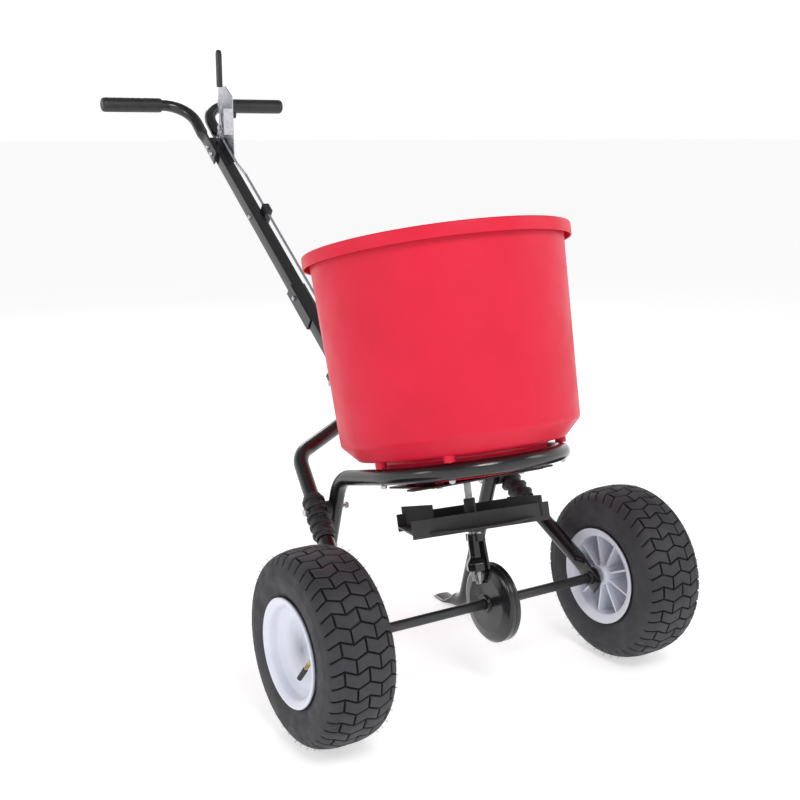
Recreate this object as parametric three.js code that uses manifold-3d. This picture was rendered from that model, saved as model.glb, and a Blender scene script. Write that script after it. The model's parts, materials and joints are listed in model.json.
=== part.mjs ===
// Walk-behind broadcast spreader: hopper on a tube frame, two pneumatic wheels, a bevel gear that
// turns the impeller, and a lever on the handle that slides the gate under the hopper.
// Millimetres, +Z up.  The parts are laid out in the spreader's own frame, whose origin is the axle's
// centre and whose +Z is the hopper's axis, and the whole is then leant back on its stand feet.
import * as THREE from 'three';
import { mergeVertices } from 'three/addons/utils/BufferGeometryUtils.js';
import Module from 'manifold-3d';

const wasm = await Module();
wasm.setup();

const LEAN = THREE.MathUtils.degToRad(14.56); // how far the hopper's axis leans back at rest
const WHEEL_R = 165;
const TRACK_HALF = 329;
const TUBE_R = 14.3; // frame, handle and grip arm tube
const AXLE_R = 9;
const BOLT_R = 3;
const HOLE_R = 3.4;
const GAP = 0.3;

const group = new THREE.Group();
const spreader = new THREE.Group(); // own frame, leant back inside group
group.add(spreader);

const V = (x, y, z) => new THREE.Vector3(x, y, z);

const PAINT = { black: [0x0c0d0f, 0.3, 0.2], zinc: [0xb9bdc2, 0.35, 0.9], steel: [0x9a9ea3, 0.3, 0.9],
  red: [0xd8203a, 0.4, 0], rim: [0xdfe2ea, 0.45, 0], tyre: [0x2a2a2d, 0.85, 0],
  rubber: [0x151517, 0.7, 0], plastic: [0x121316, 0.5, 0], brass: [0xb08a4a, 0.35, 0.9] };

// ---------- helpers ----------
function merged(geometry) {
  const g = geometry.clone();
  for (const name of Object.keys(g.attributes)) {
    if (name !== 'position') g.deleteAttribute(name);
  }
  return mergeVertices(g, 1e-4);
}

function solid(geometry) {
  const g = merged(geometry);
  return new wasm.Manifold(new wasm.Mesh({
    numProp: 3,
    vertProperties: new Float32Array(g.attributes.position.array),
    triVerts: new Uint32Array(g.index.array),
  }));
}

function fromSolid(manifold) {
  const mesh = manifold.getMesh();
  const g = new THREE.BufferGeometry();
  g.setAttribute('position', new THREE.BufferAttribute(new Float32Array(mesh.vertProperties), 3));
  g.setIndex(new THREE.BufferAttribute(new Uint32Array(mesh.triVerts), 1));
  return g;
}

function join(...geometries) {
  return fromSolid(geometries.slice(1).reduce((sum, g) => sum.add(solid(g)), solid(geometries[0])));
}

function cut(geometry, ...tools) {
  return fromSolid(tools.reduce((left, g) => left.subtract(solid(g)), solid(geometry)));
}

function add(name, geometry, paint) {
  const [color, roughness, metalness] = PAINT[paint];
  const g = geometry.index ? geometry.toNonIndexed() : geometry;
  g.computeVertexNormals();
  const mesh = new THREE.Mesh(g, new THREE.MeshStandardMaterial({ color, roughness, metalness }));
  mesh.name = name;
  spreader.add(mesh);
  return mesh;
}

function box(w, d, h, x, y, z) {
  return new THREE.BoxGeometry(w, d, h).translate(x, y, z);
}

// A cylinder from a to b.
function rod(a, b, r, sides = 16, r2 = r) {
  const g = new THREE.CylinderGeometry(r2, r, a.distanceTo(b), sides);
  const q = new THREE.Quaternion().setFromUnitVectors(V(0, 1, 0), b.clone().sub(a).normalize());
  const mid = a.clone().add(b).multiplyScalar(0.5);
  return g.applyQuaternion(q).translate(mid.x, mid.y, mid.z);
}

// Turned solids: the profile is a closed list of [r, h].
function turnedZ(profile, sides) {
  const pts = profile.map(([r, h]) => new THREE.Vector2(r, h));
  if (THREE.ShapeUtils.area(pts) < 0) pts.reverse(); // faces out
  if (pts[0].x > 0 || pts[pts.length - 1].x > 0) pts.push(pts[0].clone());
  return new THREE.LatheGeometry(pts, sides).rotateX(Math.PI / 2);
}

function turnedX(profile, sides) {
  return turnedZ(profile, sides).rotateY(Math.PI / 2);
}

// A curve that passes through its stations at equal steps, so each station is one ring of the tube.
class StationCurve extends THREE.Curve {
  constructor(points) {
    super();
    this.points = points;
  }

  getPoint(t, target = V(0, 0, 0)) {
    const last = this.points.length - 1;
    const i = Math.min(Math.floor(t * last + 1e-9), last - 1);
    return target.copy(this.points[i]).lerp(this.points[i + 1], t * last - i);
  }

  getPointAt(t, target) {
    return this.getPoint(t, target);
  }

  getTangentAt(t, target = V(0, 0, 0)) {
    const last = this.points.length - 1;
    const i = Math.round(t * last);
    const before = this.points[Math.max(i - 1, 0)];
    const after = this.points[Math.min(i + 1, last)];
    const here = this.points[i];
    const a = i > 0 ? here.clone().sub(before).normalize() : V(0, 0, 0);
    const b = i < last ? after.clone().sub(here).normalize() : V(0, 0, 0);
    return target.copy(a.add(b)).normalize();
  }
}

// Corner points with a radius each become straight runs and arcs.
function bent(corners, steps = 4) {
  const out = [corners[0].at.clone()];
  for (let i = 1; i < corners.length - 1; i += 1) {
    const { at, radius } = corners[i];
    const u = corners[i - 1].at.clone().sub(at).normalize();
    const v = corners[i + 1].at.clone().sub(at).normalize();
    const half = Math.acos(u.dot(v)) / 2;
    const centre = at.clone().add(u.clone().add(v).normalize().multiplyScalar(radius / Math.sin(half)));
    const from = at.clone().add(u.multiplyScalar(radius / Math.tan(half))).sub(centre);
    const to = at.clone().add(v.multiplyScalar(radius / Math.tan(half))).sub(centre);
    const axis = from.clone().cross(to).normalize();
    const sweep = Math.PI - 2 * half;
    for (let k = 0; k <= steps; k += 1) {
      out.push(from.clone().applyAxisAngle(axis, (sweep * k) / steps).add(centre));
    }
  }
  out.push(corners[corners.length - 1].at.clone());
  return out;
}

function tube(stations, r = TUBE_R, sides = 10) {
  const shape = new THREE.Shape(circle(0, 0, r, sides).map(([x, y]) => new THREE.Vector2(x, y)));
  return new THREE.ExtrudeGeometry(shape, {
    steps: stations.length - 1, extrudePath: new StationCurve(stations), bevelEnabled: false });
}

function warp(geometry, move) {
  const p = geometry.attributes.position;
  const v = V(0, 0, 0);
  for (let i = 0; i < p.count; i += 1) {
    v.fromBufferAttribute(p, i);
    move(v);
    p.setXYZ(i, v.x, v.y, v.z);
  }
  return geometry;
}

// A flat plate: outline in (y, z), thickness from x0 to x1.
function plateX(outline, x0, x1, holes = []) {
  const shape = new THREE.Shape(outline.map(([y, z]) => new THREE.Vector2(y, z)));
  for (const hole of holes) shape.holes.push(new THREE.Path(hole.map(([y, z]) => new THREE.Vector2(y, z))));
  const g = new THREE.ExtrudeGeometry(shape, { depth: x1 - x0, bevelEnabled: false });
  return warp(g, (v) => v.set(v.z + x0, v.x, v.y));
}

// A flat plate: outline in (x, y), thickness from z0 to z1.
function plateZ(outline, z0, z1, holes = []) {
  const shape = new THREE.Shape(outline.map(([x, y]) => new THREE.Vector2(x, y)));
  for (const hole of holes) shape.holes.push(new THREE.Path(hole.map(([x, y]) => new THREE.Vector2(x, y))));
  return new THREE.ExtrudeGeometry(shape, { depth: z1 - z0, bevelEnabled: false }).translate(0, 0, z0);
}

function circle(cx, cy, r, n = 16) {
  return Array.from({ length: n }, (_, k) => {
    const a = (2 * Math.PI * k) / n;
    return [cx + r * Math.cos(a), cy + r * Math.sin(a)];
  });
}

// A hexagon-head bolt along X with its nut, from the head's face to the nut's face.
function crossBolt(xHead, xNut, y, z, { r = BOLT_R, head = 5.5, nut = 5.5, headL = 4.5, nutL = 5 } = {}) {
  const way = Math.sign(xNut - xHead);
  return join(
    rod(V(xHead - way * headL, y, z), V(xHead, y, z), head, 6),
    rod(V(xHead - way, y, z), V(xNut + way, y, z), r, 8),
    rod(V(xNut, y, z), V(xNut + way * nutL, y, z), nut, 6));
}

// Own-frame point of a world point (y, z) of the leant spreader, with z measured from the floor.
function stood(x, y, z) {
  const h = z - WHEEL_R;
  const c = Math.cos(LEAN);
  const s = Math.sin(LEAN);
  return V(x, y * c - h * s, y * s + h * c);
}

// ---------- hopper ----------
const RIM_Z = 657;
const HOPPER_SIDES = 32;
const BOSS_AZ = [-177, -131, -33, 11];
const RING_R = 176;
const RING_Z = 257;
const OUTLET = [[-24, 40], [24, 40], [24, 50], [-24, 50]];
const BASE_BOLTS = [[-88, -48], [88, -48], [-88, 48], [88, 48]];
const BASE_TOP = 231.6;
const BASE_BOTTOM = 228;

function makeHopper() {
  const shell = turnedZ([
    [10, 236], [116, 236], [146, 247], [153, 278], [186, 283], [215.5, 314], [228.5, 634],
    [231.6, 653], [239.2, 653], [239.2, 634], [242.3, 634], [242.3, 655], [240.5, RIM_Z], [225.5, RIM_Z],
    [212.5, 315], [184.5, 286.5], [150.5, 281.5], [143.3, 249.8], [115.6, 239.5], [10, 239.5]], HOPPER_SIDES);
  const stubs = BASE_BOLTS.map(([x, y]) => rod(V(x, y, BASE_TOP + GAP), V(x, y, 238), 8, 8));
  const bosses = BOSS_AZ.map((deg) => {
    const a = THREE.MathUtils.degToRad(deg);
    const at = V(RING_R * Math.cos(a), RING_R * Math.sin(a), 0);
    return rod(at.clone().setZ(RING_Z + TUBE_R + GAP), at.clone().setZ(284.5), 10, 10);
  });
  const outlet = plateZ(OUTLET, 230, 245);
  const bores = BOSS_AZ.map((deg) => {
    const a = THREE.MathUtils.degToRad(deg);
    const at = V(RING_R * Math.cos(a), RING_R * Math.sin(a), 0);
    return rod(at.clone().setZ(260), at.clone().setZ(300), HOLE_R, 6);
  });
  const baseHoles = BASE_BOLTS.map(([x, y]) => rod(V(x, y, 230), V(x, y, 246), HOLE_R, 6));
  return cut(join(shell, ...bosses, ...stubs), outlet, ...bores, ...baseHoles);
}

add('hopper', makeHopper(), 'red');

for (const [i, deg] of BOSS_AZ.entries()) {
  const a = THREE.MathUtils.degToRad(deg);
  const x = RING_R * Math.cos(a);
  const y = RING_R * Math.sin(a);
  const inside = 288.5 + GAP;
  add(`hopper_bolt_${i + 1}`, join(
    rod(V(x, y, inside), V(x, y, inside + 4), 6, 6),
    rod(V(x, y, 236), V(x, y, inside + 1), BOLT_R, 6),
    rod(V(x, y, 237.5), V(x, y, RING_Z - TUBE_R - GAP), 5.5, 6)), 'zinc');
}

// ---------- base plate and gate ----------
const EAR = [[-150, -62], [-118, -66], [-118, -75], [118, -75], [118, -66], [150, -62], [150, -40],
  [118, -36], [118, 75], [-118, 75], [-118, -36], [-150, -40]];
const OUTLET_BELOW = [[-28, 36], [28, 36], [28, 56], [-28, 56]];
add('base_plate', plateZ(EAR, BASE_BOTTOM, BASE_TOP,
  [circle(0, 0, 10.5, 16), OUTLET_BELOW, ...BASE_BOLTS.map(([x, y]) => circle(x, y, HOLE_R, 10))]), 'plastic');
for (const [i, [x, y]] of BASE_BOLTS.entries()) {
  add(`base_bolt_${i + 1}`, join(
    rod(V(x, y, BASE_BOTTOM - GAP - 4), V(x, y, BASE_BOTTOM - GAP), 5.5, 6),
    rod(V(x, y, BASE_BOTTOM - 2), V(x, y, 241), BOLT_R, 6),
    rod(V(x, y, 239.8), V(x, y, 244.5), 5.5, 6)), 'zinc');
}

// ---------- handle line: s along the shaft from its datum, off square to it, towards the hopper's side --
const SHAFT_DATUM = V(0, 905, 1047);
const ALONG = V(0, 0.6428, 0.766);
const OFF = V(0, -0.766, 0.6428);
const onShaft = (x, s, off) => SHAFT_DATUM.clone().addScaledVector(ALONG, s).addScaledVector(OFF, off).setX(x);

const SHAFT_HALF = 14.3;
const SHAFT_LOW = -860;
const SHAFT_HIGH = 34;
const LOWER_BOLTS = [-840, -800];
const COUPLER_BOLT = -540;
const UPPER_BOLTS = [-14, 12];
const MID_BOLT = -258;

function crossHole(s, off = 0, r = HOLE_R, half = 60) {
  return rod(onShaft(-half, s, off), onShaft(half, s, off), r, 8);
}

function shaftBlock(x0, x1, s0, s1, off0, off1) {
  const g = new THREE.BoxGeometry(x1 - x0, s1 - s0, off1 - off0);
  const turn = new THREE.Matrix4().makeBasis(V(1, 0, 0), ALONG, OFF);
  const mid = onShaft((x0 + x1) / 2, (s0 + s1) / 2, (off0 + off1) / 2);
  return g.applyMatrix4(turn).translate(mid.x, mid.y, mid.z);
}

const shaftOuter = shaftBlock(-SHAFT_HALF, SHAFT_HALF, SHAFT_LOW, SHAFT_HIGH, -SHAFT_HALF, SHAFT_HALF);
const shaftInner = shaftBlock(-12.3, 12.3, SHAFT_LOW - 5, SHAFT_HIGH + 5, -12.3, 12.3);
add('handle_shaft', cut(shaftOuter, shaftInner,
  ...[...LOWER_BOLTS, ...UPPER_BOLTS, MID_BOLT, COUPLER_BOLT].map((s) => crossHole(s))), 'black');

// A channel around the shaft's joint.
const CHANNEL = [-622, -506];
add('shaft_coupler', cut(shaftBlock(-17.8, 17.8, ...CHANNEL, -17.8, 12),
  shaftBlock(-14.6, 14.6, CHANNEL[0] - 5, CHANNEL[1] + 5, -14.6, 20), crossHole(COUPLER_BOLT)), 'black');
const couplerAt = onShaft(0, COUPLER_BOLT, 0);
add('coupler_bolt', crossBolt(-18.1, 18.1, couplerAt.y, couplerAt.z), 'zinc');

// ---------- lower handle tubes ----------
const BUSH_X = 251.8;
const LOWER_DIR = V(0, 0.6672, 0.7449);
const OUTER_BEND = V(194.2, 272.8, 304.6);
const SIDE_X = SHAFT_HALF + GAP + TUBE_R;
const TUBE_SPREAD = -889; // where the two tubes part, along the shaft's line
const KNEE = LOWER_DIR.clone().multiplyScalar(48).setX(BUSH_X);
const LEG_TOP = V(RING_R, 148.5, RING_Z);
const FOOT_BEND = stood(180, 318, TUBE_R);

// Where the handle tube crosses the leg, seen along X.
function crossing(a, b, c, d) {
  const u = b.clone().sub(a);
  const v = d.clone().sub(c);
  const t = ((c.y - a.y) * v.z - (c.z - a.z) * v.y) / (u.y * v.z - u.z * v.y);
  return a.clone().addScaledVector(u, t).setX(0);
}
const CLAMP_AT = crossing(KNEE, OUTER_BEND, LEG_TOP, FOOT_BEND);

function handleTube(side) {
  const low = LOWER_DIR.clone().multiplyScalar(-24).setX(BUSH_X);
  const inner = onShaft(SIDE_X, TUBE_SPREAD, 0);
  const stations = bent([{ at: low }, { at: KNEE, radius: 60 }, { at: OUTER_BEND, radius: 58 },
    { at: inner, radius: 50 }, { at: onShaft(SIDE_X, -775, 0) }], 4);
  stations.splice(1, 0, low.clone().lerp(KNEE, 0.3), low.clone().lerp(KNEE, 0.65));
  const g = tube(stations);
  const across = V(0, -LOWER_DIR.z, LOWER_DIR.y);
  warp(g, (v) => { // the end is pressed flat around the axle bush
    const along = v.dot(LOWER_DIR);
    const flat = THREE.MathUtils.clamp((46 - along) / 22, 0, 1);
    if (v.x < 200 || flat === 0) return;
    const wide = v.dot(across);
    v.setX(BUSH_X + (v.x - BUSH_X) * (1 - 0.72 * flat));
    v.addScaledVector(across, wide * 0.3 * flat);
  });
  const bore = rod(V(BUSH_X - 20, 0, 0), V(BUSH_X + 20, 0, 0), 13, 20);
  const out = cut(g, bore, ...LOWER_BOLTS.map((s) => crossHole(s)),
    rod(V(150, CLAMP_AT.y, CLAMP_AT.z), V(260, CLAMP_AT.y, CLAMP_AT.z), HOLE_R, 10));
  return side > 0 ? out : mirrorX(out);
}

function mirrorX(geometry) {
  const g = geometry.index ? geometry.clone() : merged(geometry);
  warp(g, (v) => v.setX(-v.x));
  const idx = g.index.array.slice();
  for (let i = 0; i < idx.length; i += 3) [idx[i + 1], idx[i + 2]] = [idx[i + 2], idx[i + 1]];
  g.setIndex(new THREE.BufferAttribute(idx, 1));
  return g;
}

const SIDES = [['left', 1], ['right', -1]];
for (const [name, side] of SIDES) {
  add(`handle_tube_${name}`, handleTube(side), 'black');
  const bush = turnedX([[AXLE_R + 0.15, -9], [12.7, -9], [12.7, 5.2], [19, 5.2], [19, 8], [AXLE_R + 0.15, 8]], 20);
  add(`axle_bush_${name}`, side > 0 ? bush.translate(BUSH_X, 0, 0) : mirrorX(bush.translate(BUSH_X, 0, 0)), 'plastic');
}
for (const [i, s] of LOWER_BOLTS.entries()) {
  const at = onShaft(0, s, 0);
  add(`lower_bolt_${i + 1}`, crossBolt(-43.7, 43.7, at.y, at.z), 'zinc');
}

// ---------- frame tube: U ring under the hopper, legs and stand feet ----------
function makeFrame() {
  const half = [];
  const foot = stood(184, 412, TUBE_R);
  half.push({ at: foot }, { at: FOOT_BEND, radius: 45 }, { at: LEG_TOP, radius: 62 });
  const right = bent([...half, { at: V(RING_R, 30, RING_Z) }], 4);
  right.splice(1, 0, stood(183, 372, TUBE_R), stood(182, 352, TUBE_R));
  const arc = [];
  const turns = 12;
  for (let k = 0; k <= turns; k += 1) {
    const a = (Math.PI * k) / turns;
    arc.push(V(RING_R * Math.cos(a), -RING_R * Math.sin(a), RING_Z));
  }
  const left = right.map((p) => V(-p.x, p.y, p.z)).reverse();
  const g = tube([...right.slice(0, -1), ...arc, ...left.slice(1)]);
  warp(g, (v) => { // the feet are pressed flat on the floor
    const y = v.y * Math.cos(LEAN) + v.z * Math.sin(LEAN);
    const h = -v.y * Math.sin(LEAN) + v.z * Math.cos(LEAN) + WHEEL_R;
    const flat = THREE.MathUtils.clamp((y - 350) / 24, 0, 1);
    if (flat === 0 || h > 60) return;
    const side = Math.sign(v.x);
    const wide = (Math.abs(v.x) - 183) * (1 + 0.35 * flat);
    const pressed = Math.max(h - 6, 0) * 0.24;
    v.copy(stood(side * (183 + wide), y, h + (pressed - h) * flat));
  });
  const holes = [];
  for (const side of [1, -1]) {
    holes.push(rod(V(side * 140, CLAMP_AT.y, CLAMP_AT.z), V(side * 200, CLAMP_AT.y, CLAMP_AT.z), HOLE_R, 10));
    holes.push(rod(stood(side * 183, 396, -10), stood(side * 183, 396, 30), 4, 10));
  }
  for (const deg of BOSS_AZ) {
    const a = THREE.MathUtils.degToRad(deg);
    const at = V(RING_R * Math.cos(a), RING_R * Math.sin(a), 0);
    holes.push(rod(at.clone().setZ(230), at.clone().setZ(280), HOLE_R, 6));
  }
  return cut(g, ...holes);
}
add('frame_tube', makeFrame(), 'black');

// ---------- clamps where the handle tubes cross the legs ----------
const LEG_DIR = FOOT_BEND.clone().sub(LEG_TOP).setX(0).normalize();
const TUBE_DIR = OUTER_BEND.clone().sub(KNEE).normalize();

function clampX(p) {
  return BUSH_X + (OUTER_BEND.x - BUSH_X) * ((p - KNEE.y) / (OUTER_BEND.y - KNEE.y));
}

function makeClamp(side) {
  const xTube = clampX(CLAMP_AT.y);
  const tubeAt = V(xTube, CLAMP_AT.y, CLAMP_AT.z);
  const sleeveAt = tubeAt.clone().addScaledVector(TUBE_DIR, -18);
  const ribs = [];
  for (const k of [-2, 0, 2]) {
    const at = sleeveAt.clone().addScaledVector(TUBE_DIR, k * 19);
    const half = TUBE_DIR.clone().multiplyScalar(4);
    ribs.push(rod(at.clone().sub(half), at.clone().add(half), 22.5 - Math.abs(k) * 0.5, 12));
  }
  const half = TUBE_DIR.clone().multiplyScalar(50);
  const core = rod(sleeveAt.clone().sub(half), sleeveAt.clone().add(half), 17.4, 12);
  const bridge = rod(V(175, CLAMP_AT.y, CLAMP_AT.z), V(xTube, CLAMP_AT.y, CLAMP_AT.z), 15, 8);
  const far = TUBE_DIR.clone().multiplyScalar(100);
  const legFar = LEG_DIR.clone().multiplyScalar(80);
  const legX = LEG_TOP.x + (FOOT_BEND.x - LEG_TOP.x) * ((CLAMP_AT.y - LEG_TOP.y) / (FOOT_BEND.y - LEG_TOP.y));
  const legCentre = V(legX, CLAMP_AT.y, CLAMP_AT.z);
  const body = cut(join(core, ...ribs, bridge),
    rod(tubeAt.clone().sub(far), tubeAt.clone().add(far), TUBE_R + 0.95, 12),
    rod(legCentre.clone().sub(legFar), legCentre.clone().add(legFar), TUBE_R + 1, 12),
    rod(V(140, CLAMP_AT.y, CLAMP_AT.z), V(260, CLAMP_AT.y, CLAMP_AT.z), HOLE_R, 10));
  return side > 0 ? body : mirrorX(body);
}

for (const [name, side] of SIDES) {
  add(`clamp_${name}`, makeClamp(side), 'plastic');
  add(`clamp_bolt_${name}`, crossBolt(side * 237.4, side * 155.4, CLAMP_AT.y, CLAMP_AT.z,
    { head: 7, nut: 6.5 }), 'zinc');
}

// ---------- gauge bracket on the shaft's upper end ----------
const PIVOT = { s: 14, off: 56 };
const CHEEK_IN = 14.6;
const CHEEK_OUT = 16.8;
const CHEEK = [[-40, -8], [-66, 14], [25, 137], [73, 135], [101, 117], [91, 75], [60, 56], [34, 20], [34, -8]];
const STOP_ARC = 42;
const STOP_FROM = 37;
const STOP_TO = 54;
const STOP_REST = 42.5;

function toOwn([s, off]) {
  const p = onShaft(0, s, off);
  return [p.y, p.z];
}

const UP_DIR = Math.atan2(0.8148, 0.5798); // the lever's rest direction in (s, off)

function arcSlot(r, half, from, to, n = 8) {
  const at = (radius, deg) => {
    const a = UP_DIR + THREE.MathUtils.degToRad(deg);
    return [PIVOT.s + radius * Math.cos(a), PIVOT.off + radius * Math.sin(a)];
  };
  const out = [];
  for (let k = 0; k <= n; k += 1) out.push(at(r + half, from + ((to - from) * k) / n));
  for (let k = n; k >= 0; k -= 1) out.push(at(r - half, from + ((to - from) * k) / n));
  return out;
}

function makeGauge() {
  const holes = [circle(PIVOT.s, PIVOT.off, 4.3, 14), ...UPPER_BOLTS.map((s) => circle(s, 0, HOLE_R, 12))];
  const slot = arcSlot(STOP_ARC, 3.6, STOP_FROM, STOP_TO);
  const map = (list) => list.map(toOwn);
  const left = plateX(map(CHEEK), CHEEK_IN, CHEEK_OUT, [...holes, slot].map(map));
  const a = [-66, 14];
  const b = [25, 137];
  const mix = (t, shift) => [a[0] + (b[0] - a[0]) * t + shift[0], a[1] + (b[1] - a[1]) * t + shift[1]];
  const inward = [0.804 * 2.2, -0.595 * 2.2];
  const web = plateX([mix(0.42, [0, 0]), mix(0.82, [0, 0]), mix(0.82, inward), mix(0.42, inward)].map(toOwn),
    -8, CHEEK_OUT);
  return join(left, web);
}
add('gauge_bracket', makeGauge(), 'zinc');

const pivotAt = onShaft(0, PIVOT.s, PIVOT.off);
add('lever_pivot_bolt', crossBolt(-2 - GAP, CHEEK_OUT + GAP, pivotAt.y, pivotAt.z,
  { r: 3.9, head: 7, nut: 7 }), 'zinc');

// ---------- lever, sleeve, stop ----------
const ARM = 28; // pivot to rod pin
const LEVER_UP = 176;
const leverDir = V(0, -Math.sin(LEAN), Math.cos(LEAN)); // plumb at rest
const leverSide = V(0, Math.cos(LEAN), Math.sin(LEAN));

function leverPoint(u, w) {
  const p = pivotAt.clone().addScaledVector(leverDir, u).addScaledVector(leverSide, w);
  return [p.y, p.z];
}

function makeLever() {
  const blade = plateX([leverPoint(-10, -9), leverPoint(10, -9), leverPoint(22, -4.5), leverPoint(LEVER_UP - 4, -4),
    leverPoint(LEVER_UP, -2), leverPoint(LEVER_UP, 2), leverPoint(LEVER_UP - 4, 4),
    leverPoint(22, 4.5), leverPoint(10, 9), leverPoint(-10, 9)], -2, 2);
  const arm = plateX([[PIVOT.s - 9, PIVOT.off + 6], [PIVOT.s + 9, PIVOT.off + 6],
    [PIVOT.s + 9, PIVOT.off - ARM - 10.5], [PIVOT.s - 9, PIVOT.off - ARM - 10.5]].reverse().map(toOwn), -2, 2);
  const slot = plateX([[PIVOT.s - 4, PIVOT.off - ARM + 6], [PIVOT.s + 4, PIVOT.off - ARM + 6],
    [PIVOT.s + 4, PIVOT.off - ARM - 8], [PIVOT.s - 4, PIVOT.off - ARM - 8]].reverse().map(toOwn), -4, 4);
  const hole = rod(V(-5, pivotAt.y, pivotAt.z), V(5, pivotAt.y, pivotAt.z), 4.1, 20);
  return cut(join(blade, arm), slot, hole);
}
const GRIP_FROM = 96;
const leverSolid = makeLever();
add('lever', leverSolid, 'zinc');
const sleeveOuter = plateX([leverPoint(GRIP_FROM, -7), leverPoint(LEVER_UP - 2, -7),
  leverPoint(LEVER_UP + 4, -4.5), leverPoint(LEVER_UP + 6.5, 0), leverPoint(LEVER_UP + 4, 4.5),
  leverPoint(LEVER_UP - 2, 7), leverPoint(GRIP_FROM, 7)], -5.5, 5.5);
const sleeveInner = plateX([leverPoint(GRIP_FROM - 5, -4.7), leverPoint(LEVER_UP - 3, -4.5),
  leverPoint(LEVER_UP + 0.4, -2.4), leverPoint(LEVER_UP + 0.4, 2.4), leverPoint(LEVER_UP - 3, 4.5),
  leverPoint(GRIP_FROM - 5, 4.7)], -2.3, 2.3);
add('lever_sleeve', cut(sleeveOuter, sleeveInner), 'rubber');

const stopAngle = UP_DIR + THREE.MathUtils.degToRad(STOP_REST);
const stopAt = onShaft(0, PIVOT.s + STOP_ARC * Math.cos(stopAngle), PIVOT.off + STOP_ARC * Math.sin(stopAngle));
add('rate_stop', join(
  rod(V(CHEEK_OUT + GAP, stopAt.y, stopAt.z), V(CHEEK_OUT + 9, stopAt.y, stopAt.z), 9, 12),
  rod(V(-6, stopAt.y, stopAt.z), V(CHEEK_OUT + 2, stopAt.y, stopAt.z), BOLT_R, 12),
  rod(V(8, stopAt.y, stopAt.z), V(CHEEK_IN - GAP, stopAt.y, stopAt.z), 6, 6)), 'plastic');

// ---------- grip arms and grips ----------
const ARM_FLAT = 4; // half the thickness of an arm's pressed end
const GRIP_AT = V(0, 1013.9, 1188.1);
const GRIP_IN = 91;
const GRIP_OUT = 241;

function gripArm(x) {
  const stations = bent([{ at: onShaft(x, -32, 0) }, { at: onShaft(x, 82, 2), radius: 200 },
    { at: GRIP_AT.clone().setX(x), radius: 69 }, { at: GRIP_AT.clone().setX(GRIP_OUT - 6) }], 5);
  stations.splice(1, 0, onShaft(x, 38, 0.7), onShaft(x, 50, 1), onShaft(x, 62, 1.3));
  const g = warp(tube(stations), (v) => { // the end is pressed flat against the shaft
    const from = v.clone().sub(SHAFT_DATUM);
    const flat = THREE.MathUtils.clamp((70 - from.dot(ALONG)) / 28, 0, 1);
    if (flat === 0) return;
    v.addScaledVector(OFF, from.dot(OFF) * 0.3 * flat);
    v.setX(x + (v.x - x) * (1 - (1 - ARM_FLAT / TUBE_R) * flat));
  });
  return cut(g, ...UPPER_BOLTS.map((s) => crossHole(s)));
}
const ARM_X = { left: CHEEK_OUT + GAP + ARM_FLAT, right: SHAFT_HALF + GAP + ARM_FLAT };

for (const [name, side] of SIDES) {
  const g = gripArm(ARM_X[name]);
  add(`grip_arm_${name}`, side > 0 ? g : mirrorX(g), 'black');
  const grip = turnedX([[0, GRIP_OUT - 5], [0, GRIP_OUT], [13, GRIP_OUT], [17, GRIP_OUT - 2.5], [18.3, GRIP_OUT - 7],
    [18.3, GRIP_IN + 4], [17, GRIP_IN], [TUBE_R + 0.5, GRIP_IN], [TUBE_R + 0.5, GRIP_OUT - 5]], 14)
    .translate(0, GRIP_AT.y, GRIP_AT.z);
  add(`grip_${name}`, side > 0 ? grip : mirrorX(grip), 'rubber');
}
for (const [i, s] of UPPER_BOLTS.entries()) {
  const at = onShaft(0, s, 0);
  add(`upper_bolt_${i + 1}`, crossBolt(-ARM_X.right - ARM_FLAT - GAP, ARM_X.left + ARM_FLAT + GAP, at.y, at.z),
    'zinc');
}

// ---------- control rod, its guide ----------
const ROD_R = 3;
const ROD_OFF = 19;
const ROD_X = 22;
const ROD_LOW_S = -1040;
const guideOuter = shaftBlock(SHAFT_HALF + GAP, 31, MID_BOLT - 14, MID_BOLT + 14, -10, 28);
const guideBore = rod(onShaft(ROD_X, MID_BOLT - 20, ROD_OFF), onShaft(ROD_X, MID_BOLT + 20, ROD_OFF), ROD_R + 0.5, 16);
add('rod_guide', cut(guideOuter, guideBore, crossHole(MID_BOLT)), 'plastic');
const midAt = onShaft(0, MID_BOLT, 0);
add('mid_bolt', crossBolt(-SHAFT_HALF - GAP, 31 + GAP, midAt.y, midAt.z), 'zinc');

const rodPath = bent([{ at: onShaft(-7, PIVOT.s, PIVOT.off - ARM) }, { at: onShaft(9, PIVOT.s, PIVOT.off - ARM), radius: 4.5 },
  { at: onShaft(9, -92, PIVOT.off - ARM), radius: 20 }, { at: onShaft(ROD_X, -122, ROD_OFF), radius: 20 },
  { at: onShaft(ROD_X, ROD_LOW_S, ROD_OFF), radius: 4.5 }, { at: onShaft(8, ROD_LOW_S, ROD_OFF) }], 3);
add('control_rod', tube(rodPath, ROD_R, 8), 'zinc');

// ---------- gate ----------
const rodEnd = onShaft(0, ROD_LOW_S, ROD_OFF);
const GATE_Z = [232.1, 235.4];
const gateHole = OUTLET.map(([x, y]) => [x, y - 10]);
const gatePlate = plateZ([[-32, 18], [32, 18], [32, 100], [19, 120], [19, rodEnd.y + 9], [9, rodEnd.y + 9],
  [9, 130], [-32, 100]], ...GATE_Z, [gateHole]);
const tab = plateX([[rodEnd.y - 9, GATE_Z[0] + 1], [rodEnd.y + 9, GATE_Z[0] + 1], [rodEnd.y + 9, rodEnd.z + 26],
  [rodEnd.y - 9, rodEnd.z + 26]], 11, 15, [[[rodEnd.y - 3.6, rodEnd.z - 5], [rodEnd.y + 3.6, rodEnd.z - 5],
  [rodEnd.y + 3.6, rodEnd.z + 21.5], [rodEnd.y - 3.6, rodEnd.z + 21.5]]]);
add('shutoff_gate', join(gatePlate, tab), 'zinc');

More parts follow.
